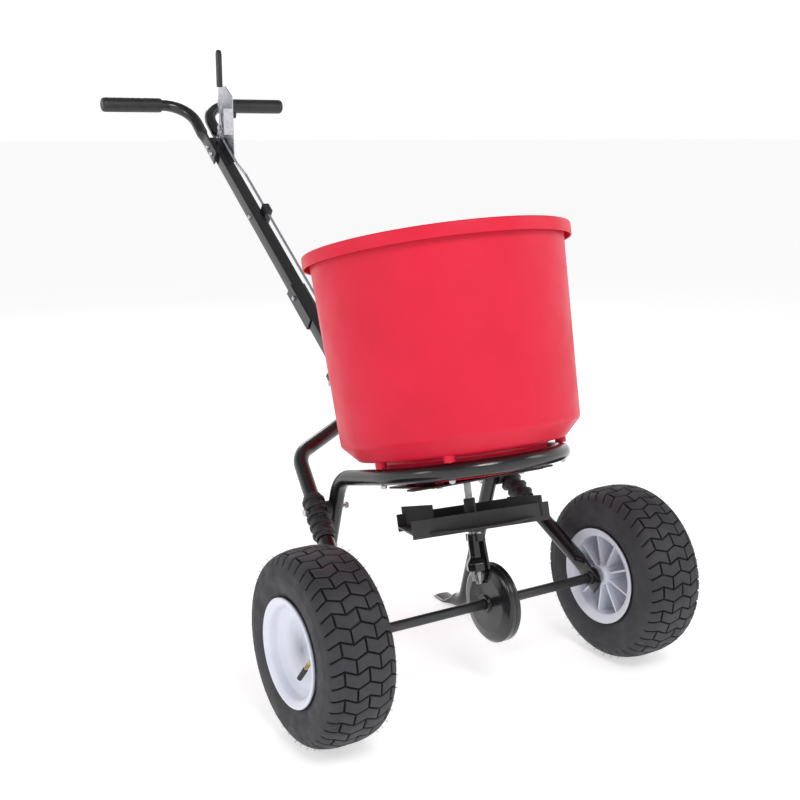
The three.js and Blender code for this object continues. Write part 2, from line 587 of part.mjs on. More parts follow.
// ---------- gear case ----------
const CASE_R = 72;
const SEAM = 22;
const CASE_FACE = 5.5;
const caseShellIn = [[AXLE_R + 0.15, CASE_FACE - 5], [17, CASE_FACE - 5], [17, CASE_FACE], [50, CASE_FACE],
  [66, 9], [CASE_R, 13], [CASE_R, SEAM - 0.15], [CASE_R - 2.5, SEAM - 0.15], [CASE_R - 2.5, 14.5], [64.5, 11.2],
  [49.5, 8], [AXLE_R + 0.15, 8]];
const CASE_SIDES = 20;
const caseShellOut = [[AXLE_R + 0.15, 36], [CASE_R - 24, 36], [CASE_R - 7, 32.5], [CASE_R - 2.5, 29.5],
  [CASE_R - 2.5, SEAM + 0.15], [CASE_R, SEAM + 0.15], [CASE_R, 31], [CASE_R - 6, 35], [CASE_R - 23, 38.5],
  [17, 38.5], [17, 42], [AXLE_R + 0.15, 42]];
const NECK_TOP = 128;
const neckParts = [
  rod(V(0, 0, 40), V(0, 0, 76), 21, 16),
  rod(V(0, 0, 76), V(0, 0, 88), 21, 16, 13),
  rod(V(0, 0, 88), V(0, 0, NECK_TOP), 13, 16),
  plateX([[-19, NECK_TOP], [-19, NECK_TOP - 12], [-24, 64], [24, 64], [19, NECK_TOP - 12], [19, NECK_TOP]].reverse(), 6, 10.5),
  box(15, 40, 12, 3, 0, NECK_TOP - 6)];
const caseIn = cut(join(turnedX(caseShellIn, CASE_SIDES), ...neckParts),
  rod(V(0, 0, 20), V(0, 0, 72), 17.5, 16),
  rod(V(0, 0, 60), V(0, 0, 140), 6.7, 24),
  turnedX([[AXLE_R + 3, 8], [49.5, 8], [64.5, 11.2], [CASE_R - 2.5, 14.5], [CASE_R - 2.5, SEAM + 20], [AXLE_R + 3, SEAM + 20]], CASE_SIDES),
  rod(V(-20, 0, 0), V(40, 0, 0), AXLE_R + 0.15, 20),
  ...[-14, 14].map((y) => rod(V(3, y, NECK_TOP - 30), V(3, y, NECK_TOP + 5), 2.4, 6)));
add('gear_case_right', caseIn, 'black');
add('gear_case_left', turnedX(caseShellOut, CASE_SIDES), 'black');
for (const [i, y] of [-14, 14].entries()) {
  add(`case_bolt_${i + 1}`, join(rod(V(3, y, NECK_TOP + GAP), V(3, y, NECK_TOP + 4.5), 4.5, 6),
    rod(V(3, y, NECK_TOP - 10), V(3, y, NECK_TOP + 1), 2, 6)), 'zinc');
}

// ---------- drive axle, crown gear, spinner ----------
const AXLE_HALF = 352;
const DRIVE_PIN_X = 281;
add('axle', cut(rod(V(-AXLE_HALF, 0, 0), V(AXLE_HALF, 0, 0), AXLE_R, 24),
  rod(V(DRIVE_PIN_X, 0, -20), V(DRIVE_PIN_X, 0, 20), 2.9, 10)), 'steel');
for (const [name, side] of SIDES) {
  const washer = turnedX([[AXLE_R + GAP, 260.2], [15, 260.2], [15, 269.6], [AXLE_R + GAP, 269.6]], 14);
  add(`axle_spacer_${name}`, side > 0 ? washer : mirrorX(washer), 'zinc');
}

// Bevel gears whose pitch cones share the axle's centre; a profile scaled from rho0 to rho1.
const CROWN_TEETH = 24;
const PINION_TEETH = 6;
const RHO = [44, 56];
const RATIO = CROWN_TEETH / PINION_TEETH;

function gridSolid(rows) {
  const n = rows.length;
  const m = rows[0].length;
  const pos = rows.flat().flatMap((p) => [p.x, p.y, p.z]);
  const idx = [];
  for (let i = 0; i < n; i += 1) {
    for (let j = 0; j < m; j += 1) {
      const a = i * m + j;
      const b = i * m + ((j + 1) % m);
      const c = ((i + 1) % n) * m + ((j + 1) % m);
      const d = ((i + 1) % n) * m + j;
      idx.push(a, b, c, a, c, d);
    }
  }
  const g = new THREE.BufferGeometry();
  g.setAttribute('position', new THREE.BufferAttribute(new Float32Array(pos), 3));
  g.setIndex(idx);
  const volume = solidVolume(g);
  if (volume < 0) {
    for (let i = 0; i < idx.length; i += 3) [idx[i + 1], idx[i + 2]] = [idx[i + 2], idx[i + 1]];
    g.setIndex(idx);
  }
  return g;
}

function solidVolume(g) {
  const p = g.attributes.position;
  const [a, b, c] = [V(0, 0, 0), V(0, 0, 0), V(0, 0, 0)];
  let sum = 0;
  for (let i = 0; i < g.index.count; i += 3) {
    a.fromBufferAttribute(p, g.index.getX(i));
    b.fromBufferAttribute(p, g.index.getX(i + 1));
    c.fromBufferAttribute(p, g.index.getX(i + 2));
    sum += a.dot(b.cross(c));
  }
  return sum;
}

// Tooth samples over one pitch: [fraction of the pitch from the tooth's middle, addendum fraction].
const TOOTH = [[-0.27, -1], [-0.13, 1], [0.13, 1], [0.27, -1]];

function crownGear() {
  const rows = [];
  for (let t = 0; t < CROWN_TEETH; t += 1) {
    for (const [f, level] of TOOTH) {
      const a = (2 * Math.PI * (t + f)) / CROWN_TEETH;
      const depth = level > 0 ? 0.028 : -0.04;
      const at = (x, r) => V(x, r * Math.cos(a), r * Math.sin(a));
      rows.push([at(20.5, AXLE_R + GAP), at(20.5, RHO[1]), at(RHO[1] * (0.25 - depth), RHO[1]),
        at(RHO[0] * (0.25 - depth), RHO[0]), at(14.5, AXLE_R + GAP)]);
    }
  }
  return gridSolid(rows);
}

function pinionGear() {
  const rows = [];
  for (let t = 0; t < PINION_TEETH; t += 1) {
    for (const [f, level] of TOOTH) {
      const a = (2 * Math.PI * (t + 0.5 + f)) / PINION_TEETH;
      const depth = level > 0 ? 0.028 : -0.04;
      const at = (z, r) => V(r * Math.cos(a), r * Math.sin(a), z);
      rows.push([at(RHO[0], 6.5 + GAP), at(RHO[0], RHO[0] * (0.25 + depth)),
        at(RHO[1], RHO[1] * (0.25 + depth)), at(RHO[1] + 6, RHO[1] * 0.25 - 3), at(RHO[1] + 6, 6.5 + GAP)]);
    }
  }
  return gridSolid(rows);
}
add('crown_gear', crownGear(), 'steel');
add('pinion', pinionGear(), 'steel');
add('spinner_shaft', cut(rod(V(0, 0, 38), V(0, 0, 330), 6.5, 20),
  rod(V(-20, 0, 300), V(20, 0, 300), 2.9, 10)), 'steel');
add('agitator', rod(V(-46, 0, 300), V(46, 0, 300), 2.6, 10), 'steel');

// ---------- impeller ----------
const FIN_AZ = THREE.MathUtils.degToRad(-21);
function makeImpeller() {
  const plate = turnedZ([[6.8, 150], [122, 150], [122, 153], [6.8, 153]], 32);
  const hub = turnedZ([[6.8, 133], [10.5, 133], [10.5, 193], [6.8, 193]], 20);
  const wall = (sign) => box(246, 2.4, 32, 0, sign * 76, 159).rotateZ(FIN_AZ);
  const floor = box(246, 152, 3, 0, 0, 151.5).rotateZ(FIN_AZ);
  const fin = (sign) => {
    const g = box(2.6, 70, 37, 0, 0, 169.5);
    return g.rotateZ(Math.atan2(-27, 64) * -1).translate(sign * -61, sign * 83, 0);
  };
  return cut(join(plate, floor, hub, wall(1), wall(-1), fin(1), fin(-1)),
    rod(V(0, 0, 120), V(0, 0, 200), 6.8, 20));
}
add('impeller', makeImpeller(), 'plastic');

// ---------- wheels ----------
function rimGeometry(side) {
  // The outer face is closed, so the profile runs from the axis out over the face, round the barrel and
  // back to the axis behind the face.
  const face = [[0, 30.5], [64, 34.5], [75.5, 40], [75.5, -54], [92, -62.8], [92, -58.2], [80, -50], [80, 50],
    [92, 58.2], [92, 62.6], [88, 63.3], [78, 57], [74.5, 44.5], [62, 37], [0, 34]];
  const shell = turnedX(face, WHEEL_SIDES);
  const hub = rod(V(-58, 0, 0), V(32, 0, 0), 19, 14);
  const ribs = Array.from({ length: 9 }, (_, k) => box(80, 3.6, 59.5, -8, 0, 47.2)
    .rotateX((2 * Math.PI * k) / 9));
  const tools = [rod(V(-70, 0, 0), V(25, 0, 0), AXLE_R + 0.15, 20)];
  if (side > 0) {
    const x = DRIVE_PIN_X - TRACK_HALF;
    tools.push(rod(V(x, 0, -30), V(x, 0, 30), 2.9, 10));
  }
  // Hole for the valve through the barrel.
  const a = VALVE_AZ;
  tools.push(rod(V(50, 60 * Math.cos(a), 60 * Math.sin(a)), V(50, 95 * Math.cos(a), 95 * Math.sin(a)), 4.4, 12));
  return cut(join(shell, hub, ...ribs), ...tools);
}

const VALVE_AZ = Math.PI + 0.05;
const WHEEL_SIDES = 24;
const TYRE_PROFILE = [[80.4, -47], [93, -57.2], [116, -63.5], [141, -61.5], [158, -50],
  [WHEEL_R, -22], [WHEEL_R, 22], [158, 50], [141, 61.5], [116, 63.5], [93, 57.2],
  [80.4, 47], [80.4, 38], [110, 54], [142, 52], [156, 24], [156, -24], [142, -52], [110, -54], [80.4, -38]];

function valveGeometry() {
  const a = VALVE_AZ;
  const from = V(50, 79 * Math.cos(a), 79 * Math.sin(a));
  const knee = V(51, 66 * Math.cos(a), 66 * Math.sin(a) - 2);
  const end = V(63.5, -38, -36);
  return { stem: tube(bent([{ at: from }, { at: knee, radius: 9 }, { at: knee.clone().lerp(end, 0.45) }], 3), 3.2, 8),
    cap: rod(knee.clone().lerp(end, 0.45 + 0.012), end, 4.6, 12) };
}

for (const [name, side] of SIDES) {
  const place = (g) => {
    const moved = g.translate(TRACK_HALF, 0, 0);
    return side > 0 ? moved : mirrorX(moved);
  };
  add(`rim_${name}`, place(rimGeometry(side)), 'rim');
  add(`tyre_${name}`, place(turnedX(TYRE_PROFILE, WHEEL_SIDES).rotateX(LEAN)), 'tyre');
  const valve = valveGeometry();
  add(`valve_${name}`, place(valve.stem), 'brass');
  add(`valve_cap_${name}`, place(valve.cap), 'rubber');
}
add('drive_pin', rod(V(DRIVE_PIN_X, 0, -24), V(DRIVE_PIN_X, 0, 24), 2.5, 10), 'zinc');

// ---------- stand it on the floor: lean, then put the origin at the middle of its base ----------
spreader.rotation.x = -LEAN;
spreader.position.z = WHEEL_R;
group.updateMatrixWorld(true);
const bounds = new THREE.Box3().setFromObject(group, true);
const centre = bounds.getCenter(V(0, 0, 0));
spreader.position.x -= centre.x;
spreader.position.y -= centre.y;
spreader.position.z -= bounds.min.z;

export default group;
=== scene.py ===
"""Garden spreader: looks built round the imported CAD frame.

Lengths in the mesh code are millimetres in the spreader's own frame: axle centre at the origin, +Z up the
hopper's axis, +Y to the handle and +X to the left. Materials, lights and the camera are in metres.
"""
import json
import math

import bmesh
import bpy
import numpy as np
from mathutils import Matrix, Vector
from mathutils.geometry import tessellate_polygon


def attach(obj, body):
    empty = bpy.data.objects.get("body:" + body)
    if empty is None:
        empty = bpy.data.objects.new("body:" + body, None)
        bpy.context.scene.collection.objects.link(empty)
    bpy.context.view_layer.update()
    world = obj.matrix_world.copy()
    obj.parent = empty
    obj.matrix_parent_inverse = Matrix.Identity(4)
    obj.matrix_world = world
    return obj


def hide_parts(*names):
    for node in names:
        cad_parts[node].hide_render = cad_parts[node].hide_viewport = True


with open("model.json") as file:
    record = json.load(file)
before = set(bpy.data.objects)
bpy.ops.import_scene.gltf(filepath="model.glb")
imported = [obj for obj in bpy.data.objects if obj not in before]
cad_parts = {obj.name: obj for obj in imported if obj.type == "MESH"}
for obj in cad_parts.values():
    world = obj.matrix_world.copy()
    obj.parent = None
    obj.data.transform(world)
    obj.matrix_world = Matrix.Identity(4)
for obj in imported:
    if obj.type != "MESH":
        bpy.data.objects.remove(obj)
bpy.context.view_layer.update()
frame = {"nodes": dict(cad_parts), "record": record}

JOINTS = {j["name"]: j for j in frame["record"]["behaviour"]["joints"]}
AXLE = np.array(JOINTS["drive_wheel_spin"]["pos_m"])
LEAN_SIN, LEAN_COS = JOINTS["spinner_spin"]["axis"][1:]
LEAN = math.atan2(LEAN_SIN, LEAN_COS)
TUBE_R = 14.3
AXLE_R = 9.0
BORE_R = AXLE_R + 0.15
WHEEL_R = 165.0
TRACK_HALF = 329.0
GAP = 0.3
SIDES = (("left", 1), ("right", -1))


# ---------- own frame and row frame ----------
def vec(x, y, z):
    return np.array([x, y, z], float)


def unit(v):
    return v / np.linalg.norm(v)


def place(points):
    """Own-frame millimetres to row-frame metres."""
    p = np.asarray(points, float).reshape(-1, 3)
    x, y, z = p.T
    turned = np.stack([x, y * LEAN_COS + z * LEAN_SIN, z * LEAN_COS - y * LEAN_SIN], 1)
    return turned / 1000 + AXLE


def stood(x, y, z):
    """Own-frame point of a point given upright: y behind the axle, z above the floor."""
    h = z - WHEEL_R
    return vec(x, y * LEAN_COS - h * LEAN_SIN, y * LEAN_SIN + h * LEAN_COS)


# ---------- shapes: each returns (points, faces) ----------
def loft(rings, caps=True, joined=False):
    """Skin over closed rings of equal length; joined links the last ring to the first."""
    n, m = len(rings), len(rings[0])
    points = np.concatenate([np.asarray(r, float) for r in rings])
    faces = []
    for i in range(n if joined else n - 1):
        a, b = i * m, ((i + 1) % n) * m
        faces += [(a + j, a + (j + 1) % m, b + (j + 1) % m, b + j) for j in range(m)]
    if caps and not joined:
        faces += [tuple(range(m))[::-1], tuple(range((n - 1) * m, n * m))]
    return points, faces


def basis(direction):
    d = unit(np.asarray(direction, float))
    side = unit(np.cross(d, vec(0, 0, 1) if abs(d[2]) < 0.9 else vec(1, 0, 0)))
    return d, side, np.cross(side, d)


def turned(profile, origin=(0, 0, 0), direction=(0, 0, 1), sides=96, flutes=0, flute=0.0):
    """Solid turned about a line; profile is a closed list of (radius, height)."""
    d, u, v = basis(direction)
    a = np.linspace(0, 2 * math.pi, sides, endpoint=False)
    swell = 1 + flute * np.cos(a * flutes)
    ring = np.cos(a)[:, None] * u + np.sin(a)[:, None] * v
    origin = np.asarray(origin, float)
    rings = [origin + ring * (max(r, 1e-3) * swell)[:, None] + d * h for r, h in profile]
    return loft(rings, joined=True)


def softened(profile, radius=0.8, steps=3):
    """Rounds the corners of a closed 2-D outline."""
    p = [np.array(q, float) for q in profile]
    out = []
    for i, at in enumerate(p):
        before, after = p[i - 1], p[(i + 1) % len(p)]
        if at[0] <= 0.01:
            out.append(tuple(at))
            continue
        la, lb = np.linalg.norm(before - at), np.linalg.norm(after - at)
        reach = min(radius, 0.45 * la, 0.45 * lb)
        a, b = at + (before - at) / la * reach, at + (after - at) / lb * reach
        for k in range(steps + 1):
            t = k / steps
            out.append(tuple((1 - t) ** 2 * a + 2 * t * (1 - t) * at + t * t * b))
    return out


def rod(a, b, r, sides=48, soft=0.5, flutes=0, flute=0.0):
    a, b = np.asarray(a, float), np.asarray(b, float)
    length = float(np.linalg.norm(b - a))
    profile = softened([(0, 0), (r, 0), (r, length), (0, length)], soft)
    return turned(profile, a, b - a, sides, flutes, flute)


def bent(corners, steps=10):
    """Corner points with a bend radius each become straight runs and arcs."""
    pts = [np.asarray(c[0], float) for c in corners]
    out = [pts[0]]
    for i in range(1, len(pts) - 1):
        at, radius = pts[i], corners[i][1]
        u, v = unit(pts[i - 1] - at), unit(pts[i + 1] - at)
        half = math.acos(float(u @ v)) / 2
        centre = at + unit(u + v) * radius / math.sin(half)
        a = at + u * radius / math.tan(half) - centre
        b = at + v * radius / math.tan(half) - centre
        sweep = math.pi - 2 * half
        for k in range(steps + 1):
            w = sweep * k / steps
            out.append(centre + (a * math.sin(sweep - w) + b * math.sin(w)) / math.sin(sweep))
    out.append(pts[-1])
    return out


def swept(path, radius, sides=28):
    """Round bar along a path, without twist."""
    path = [np.asarray(p, float) for p in path]
    tangents = [unit(path[min(i + 1, len(path) - 1)] - path[max(i - 1, 0)]) for i in range(len(path))]
    _, u, _ = basis(tangents[0])
    a = np.linspace(0, 2 * math.pi, sides, endpoint=False)
    rings = []
    for p, t in zip(path, tangents):
        u = unit(u - t * float(u @ t))
        v = np.cross(t, u)
        rings.append(p + radius * (np.cos(a)[:, None] * u + np.sin(a)[:, None] * v))
    return loft(rings)


def dense(path, step=6.0):
    out = [path[0]]
    for a, b in zip(path, path[1:]):
        n = max(1, int(np.linalg.norm(b - a) / step))
        out += [a + (b - a) * (k + 1) / n for k in range(n)]
    return out


def prism(outline, low, high, holes=(), axis="z"):
    """Flat plate with holes: the outline is in (x, y) for axis z and in (y, z) for axis x."""
    loops = [[Vector((p[0], p[1], 0)) for p in loop] for loop in (outline, *holes)]
    flat = [p for loop in loops for p in loop]
    n = len(flat)
    faces = []
    for tri in tessellate_polygon(loops):
        faces += [tuple(tri), tuple(i + n for i in reversed(tri))]
    start = 0
    for loop in loops:
        m = len(loop)
        for i in range(m):
            a, b = start + i, start + (i + 1) % m
            faces.append((a, b, b + n, a + n))
        start += m
    order = (0, 1, 2) if axis == "z" else (2, 0, 1)
    points = np.array([(p.x, p.y, h) for h in (low, high) for p in flat])[:, order]
    return points, faces


def circle(cx, cy, r, n=32):
    turns = [2 * math.pi * k / n for k in range(n)]
    return [(cx + r * math.cos(a), cy + r * math.sin(a)) for a in turns]


def block(x0, x1, y0, y1, z0, z1):
    return prism([(x0, y0), (x1, y0), (x1, y1), (x0, y1)], z0, z1)


def about_z(part, angle, at=(0, 0, 0)):
    c, s = math.cos(angle), math.sin(angle)
    turn = np.array([[c, -s, 0], [s, c, 0], [0, 0, 1]])
    return part[0] @ turn.T + np.asarray(at, float), part[1]


def about_x(part, angle):
    c, s = math.cos(angle), math.sin(angle)
    turn = np.array([[1, 0, 0], [0, c, -s], [0, s, c]])
    return part[0] @ turn.T, part[1]


def mirrored(part, side=-1, shift=0.0):
    points = part[0] + vec(shift, 0, 0)
    return points * vec(side, 1, 1), part[1]


# ---------- materials ----------
class Nodes:
    """Short calls for building a node tree."""

    def __init__(self, name):
        self.material = bpy.data.materials.new(name)
        self.material.use_nodes = True
        self.tree = self.material.node_tree
        self.shader = self.tree.nodes["Principled BSDF"]
        self.where = self.tree.nodes.new("ShaderNodeTexCoord").outputs["Object"]

    def add(self, kind, **values):
        node = self.tree.nodes.new(kind)
        for key, value in values.items():
            setattr(node, key, value)
        return node

    def link(self, a, b):
        self.tree.links.new(a, b)

    def noise(self, scale, detail=4.0, rough=0.55, stretch=(1, 1, 1)):
        mapping = self.add("ShaderNodeMapping")
        mapping.inputs["Scale"].default_value = stretch
        self.link(self.where, mapping.inputs["Vector"])
        node = self.add("ShaderNodeTexNoise")
        node.inputs["Scale"].default_value = scale
        node.inputs["Detail"].default_value = detail
        node.inputs["Roughness"].default_value = rough
        self.link(mapping.outputs["Vector"], node.inputs["Vector"])
        return node.outputs["Fac"]

    def spread(self, fac, low, high, out_low, out_high):
        node = self.add("ShaderNodeMapRange")
        node.interpolation_type = "SMOOTHSTEP"
        for key, value in zip(("From Min", "From Max", "To Min", "To Max"), (low, high, out_low, out_high)):
            node.inputs[key].default_value = value
        self.link(fac, node.inputs["Value"])
        return node.outputs["Result"]

    def mix(self, fac, a, b):
        node = self.add("ShaderNodeMix", data_type="RGBA")
        self.link(fac, node.inputs["Factor"])
        for key, value in (("A", a), ("B", b)):
            socket = [s for s in node.inputs if s.name == key and s.type == "RGBA"][0]
            if isinstance(value, tuple):
                socket.default_value = (*value, 1)
            else:
                self.link(value, socket)
        return [s for s in node.outputs if s.type == "RGBA"][0]

    def bump(self, fac, distance, strength=1.0, under=None):
        node = self.add("ShaderNodeBump")
        node.inputs["Distance"].default_value = distance
        node.inputs["Strength"].default_value = strength
        self.link(fac, node.inputs["Height"])
        if under is not None:
            self.link(under, node.inputs["Normal"])
        return node.outputs["Normal"]


def finish(name, colour, other, rough, metal=0.0, patches=30.0, grain=900.0, depth=0.00004, wave=60.0,
           wave_depth=0.0, stretch=(1, 1, 1), coat=0.0, relief=None, specular=0.5, fine=None):
    """A material whose colour drifts between two tones, with grain, slow waves and uneven gloss."""
    n = Nodes(name)
    patch = n.noise(patches, stretch=stretch)
    tone = n.mix(n.spread(patch, 0.3, 0.7, 0, 1), colour, other)
    if fine:
        speck = n.noise(fine[0], 2.0, stretch=stretch)
        tone = n.mix(n.spread(speck, fine[1], fine[1] + 0.12, 0, fine[3]), tone, fine[2])
    # Painted shade: where the relief attribute is low, down in the grooves, the colour is mixed toward the
    # relief colour, darker than the base tones.
    if relief:
        height = n.add("ShaderNodeAttribute", attribute_name="relief").outputs["Fac"]
        tone = n.mix(n.spread(height, 0.0, 1.0, 0, 1), relief, tone)
    n.link(tone, n.shader.inputs["Base Color"])
    gloss = n.spread(n.noise(patches * 2.7, stretch=stretch), 0.3, 0.7, *rough)
    n.link(gloss, n.shader.inputs["Roughness"])
    normal = n.bump(n.noise(grain, 3.0, stretch=stretch), depth)
    if wave_depth:
        normal = n.bump(n.noise(wave, 2.0), wave_depth, under=normal)
    n.link(normal, n.shader.inputs["Normal"])
    n.shader.inputs["Metallic"].default_value = metal
    n.shader.inputs["Specular IOR Level"].default_value = specular
    n.shader.inputs["Coat Weight"].default_value = coat
    n.shader.inputs["Coat Roughness"].default_value = 0.12
    return n.material


RED = finish("red_plastic", (0.72, 0.012, 0.044), (0.66, 0.010, 0.037), (0.36, 0.48), patches=7, grain=700,
             specular=0.28, depth=0.00003, wave=24, wave_depth=0.0004,
             fine=(420, 0.66, (0.60, 0.006, 0.022), 0.5))
PAINT = finish("black_powder_coat", (0.006, 0.006, 0.007), (0.009, 0.009, 0.010), (0.16, 0.26), patches=18,
               grain=520, depth=0.00005, wave=160, wave_depth=0.00005, coat=0.35,
               fine=(1500, 0.68, (0.05, 0.05, 0.055), 0.6))
MOULDED = finish("black_nylon", (0.013, 0.013, 0.015), (0.020, 0.020, 0.022), (0.36, 0.5), patches=25,
                 grain=1400, depth=0.00007, fine=(900, 0.66, (0.04, 0.04, 0.042), 0.5))
RUBBER = finish("grip_rubber", (0.012, 0.012, 0.013), (0.020, 0.020, 0.022), (0.34, 0.5), patches=40,
                grain=1700, depth=0.00009, fine=(1100, 0.64, (0.045, 0.045, 0.046), 0.5))
# Painted shade: the relief colour darkens the tyre's grooves.
TYRE = finish("tyre_rubber", (0.032, 0.032, 0.037), (0.044, 0.043, 0.049), (0.55, 0.75), patches=14,
              grain=1100, depth=0.00012, relief=(0.006, 0.006, 0.007), specular=0.35,
              fine=(300, 0.6, (0.060, 0.056, 0.052), 0.45))
RIM = finish("rim_plastic", (0.76, 0.78, 0.86), (0.72, 0.74, 0.83), (0.28, 0.4), patches=16, grain=900,
             depth=0.00003, wave=40, wave_depth=0.0001, coat=0.15, fine=(500, 0.68, (0.62, 0.63, 0.68), 0.4))
ZINC = finish("zinc_plate", (0.62, 0.63, 0.66), (0.50, 0.51, 0.55), (0.26, 0.42), metal=1.0, patches=110,
              grain=1300, depth=0.00005, fine=(700, 0.6, (0.40, 0.41, 0.44), 0.6))
STEEL = finish("bare_steel", (0.42, 0.42, 0.43), (0.30, 0.30, 0.31), (0.28, 0.45), metal=1.0, patches=60,
               grain=900, depth=0.00004, stretch=(0.15, 1, 1), fine=(600, 0.62, (0.16, 0.15, 0.14), 0.6))
DARK_STEEL = finish("blacked_steel", (0.045, 0.045, 0.048), (0.07, 0.07, 0.073), (0.3, 0.45), metal=0.8,
                    patches=50, grain=900, depth=0.00005, stretch=(0.2, 1, 1),
                    fine=(600, 0.64, (0.15, 0.14, 0.13), 0.5))
BRASS = finish("brass", (0.58, 0.43, 0.20), (0.42, 0.30, 0.13), (0.25, 0.4), metal=1.0, patches=160,
               grain=1500, depth=0.00004, fine=(900, 0.62, (0.22, 0.15, 0.07), 0.6))
SLOTS = {"red_plastic": RED, "tyre_rubber": TYRE, "white_rim": RIM, "black_rubber": RUBBER, "brass": BRASS,
         "black_paint": PAINT, "steel": STEEL, "black_plastic": MOULDED, "zinc": ZINC}
NODE_SLOT = {s["node"]: s["material_slot"] for s in frame["record"]["subparts"]}
BODY_OF = {n: b for b, ns in frame["record"]["behaviour"]["bodies"].items() for n in ns}


# ---------- pieces ----------
def make(node, parts, material=None, crease=35, bevel=0.0, relief=None):
    """One piece that stands for a CAD node, built from shapes in the own frame."""
    points, faces, at = [], [], 0
    for p, f in parts:
        points.append(place(p))
        faces += [tuple(i + at for i in face) for face in f]
        at += len(p)
    mesh = bpy.data.meshes.new(node + "_shape")
    mesh.from_pydata(np.concatenate(points).tolist(), [], faces)
    if relief is not None:
        mesh.attributes.new("relief", "FLOAT", "POINT").data.foreach_set("value", relief.astype(np.float32))
    b = bmesh.new()
    b.from_mesh(mesh)
    bmesh.ops.remove_doubles(b, verts=b.verts, dist=2e-6)
    bmesh.ops.recalc_face_normals(b, faces=b.faces)
    b.to_mesh(mesh)
    b.free()
    mesh.shade_smooth()
    mesh.set_sharp_from_angle(angle=math.radians(crease))
    piece = bpy.data.objects.new(node + "_look", mesh)
    bpy.context.scene.collection.objects.link(piece)
    mesh.materials.append(material or SLOTS[NODE_SLOT[node]])
    if bevel:
        round_edges(piece, bevel)
    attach(piece, BODY_OF[node])
    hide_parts(node)
    return piece


def round_edges(piece, width, segments=2):
    """Small rounding of every sharp edge, in millimetres."""
    weld = piece.modifiers.new("weld", "WELD")
    weld.merge_threshold = 1e-6
    bevel = piece.modifiers.new("rounded", "BEVEL")
    bevel.width = width / 1000
    bevel.segments = segments
    bevel.limit_method = "ANGLE"
    bevel.angle_limit = math.radians(35)
    bevel.harden_normals = True


# ---------- hopper ----------
RING_R, RING_Z = 176.0, 257.0
BOSS_AZ = (-177, -131, -33, 11)
BASE_BOLTS = ((-88, -48), (88, -48), (-88, 48), (88, 48))
OUTLET = [(-24, 40), (24, 40), (24, 50), (-24, 50)]


def on_ring(deg, z):
    a = math.radians(deg)
    return vec(RING_R * math.cos(a), RING_R * math.sin(a), z)


HOPPER_OUTSIDE = [(100, 236), (116, 236), (146, 247), (153, 278), (186, 283), (215.5, 314), (228.5, 634),
                  (231.6, 653)]
HOPPER_LIP = [(239.2, 653), (239.2, 634), (242.2, 634), (242.2, 655), (240.5, 657), (225.5, 657)]
HOPPER_INSIDE = [(212.5, 315), (184.5, 286.5), (150.5, 281.5), (143.3, 249.8), (115.6, 239.5), (100, 239.5)]
wall = softened([*HOPPER_OUTSIDE, *HOPPER_LIP, *HOPPER_INSIDE], 5, 5)
hopper_floor = prism(circle(0, 0, 101, 96), 236, 239.5, [circle(0, 0, 10, 32), OUTLET])
bosses = [rod(on_ring(d, RING_Z + TUBE_R + GAP), on_ring(d, 284.5), 10, 32, 1.2) for d in BOSS_AZ]
stubs = [rod((x, y, 231.9), (x, y, 238), 8, 32, 0.6) for x, y in BASE_BOLTS]
make("hopper", [turned(wall, sides=192), hopper_floor, *bosses, *stubs], crease=50)

base_outline = [(-150, -62), (-118, -66), (-118, -75), (118, -75), (118, -66), (150, -62), (150, -40),
                (118, -36), (118, 75), (-118, 75), (-118, -36), (-150, -40)]
base_outlet = [(-28, 36), (28, 36), (28, 56), (-28, 56)]
base = prism(base_outline, 228, 231.6, [circle(0, 0, 10.5), base_outlet])
make("base_plate", [base], crease=30, bevel=0.9)

# ---------- handle line: s along the shaft from its datum, off square to it ----------
DATUM, ALONG, OFF = vec(0, 905, 1047), vec(0, 0.6428, 0.766), vec(0, -0.766, 0.6428)


def on_shaft(x, s, off=0.0):
    return DATUM + ALONG * s + OFF * off + vec(x, 0, 0)


def fillet_square(half, corner, steps=5):
    """Outline of a square bar with rounded corners."""
    out = []
    flat = half - corner
    for k, (sx, sy) in enumerate(((1, -1), (1, 1), (-1, 1), (-1, -1))):
        for i in range(steps + 1):
            a = math.radians(-90 + 90 * k + 90 * i / steps)
            out.append((sx * flat + corner * math.cos(a), sy * flat + corner * math.sin(a)))
    return out


def shaft_ring(s, half, corner):
    return np.array([on_shaft(x, s, y) for x, y in fillet_square(half, corner)])


SHAFT_RINGS = [(-860, 13.8, 3.2), (-859.5, TUBE_R, 3.2), (33.5, TUBE_R, 3.2), (34, 13.8, 3.2),
               (34, 12.3, 1.6), (-860, 12.3, 1.6)]
make("handle_shaft", [loft([shaft_ring(*ring) for ring in SHAFT_RINGS], joined=True)], crease=40)

BUSH_X = 251.8
LOWER = vec(0, 0.6672, 0.7449)
KNEE = LOWER * 48 + vec(BUSH_X, 0, 0)
OUTER_BEND = vec(194.2, 272.8, 304.6)
LEG_TOP = vec(RING_R, 148.5, RING_Z)
FOOT_BEND = stood(180, 318, TUBE_R)
SIDE_X = 28.9
TUBE_JOINS_AT, TUBE_TOP_AT = -889, -775


def clamp01(t):
    return np.clip(t, 0, 1)


def eased(t):
    return t * t * (3 - 2 * t)


def handle_tube():
    """Round tube from the axle to the shaft's side, pressed flat round the axle."""
    low = LOWER * -24 + vec(BUSH_X, 0, 0)
    joins, top = on_shaft(SIDE_X, TUBE_JOINS_AT), on_shaft(SIDE_X, TUBE_TOP_AT)
    path = bent([(low, 0), (KNEE, 60), (OUTER_BEND, 58), (joins, 50), (top, 0)])
    p, f = swept(dense(path), TUBE_R)
    across = vec(0, -LOWER[2], LOWER[1])
    flat = eased(clamp01((46 - p @ LOWER) / 22) * (p[:, 0] > 200))
    wide = p @ across
    p[:, 0] = BUSH_X + (p[:, 0] - BUSH_X) * (1 - 0.72 * flat)
    return p + across * (wide * 0.3 * flat)[:, None], f


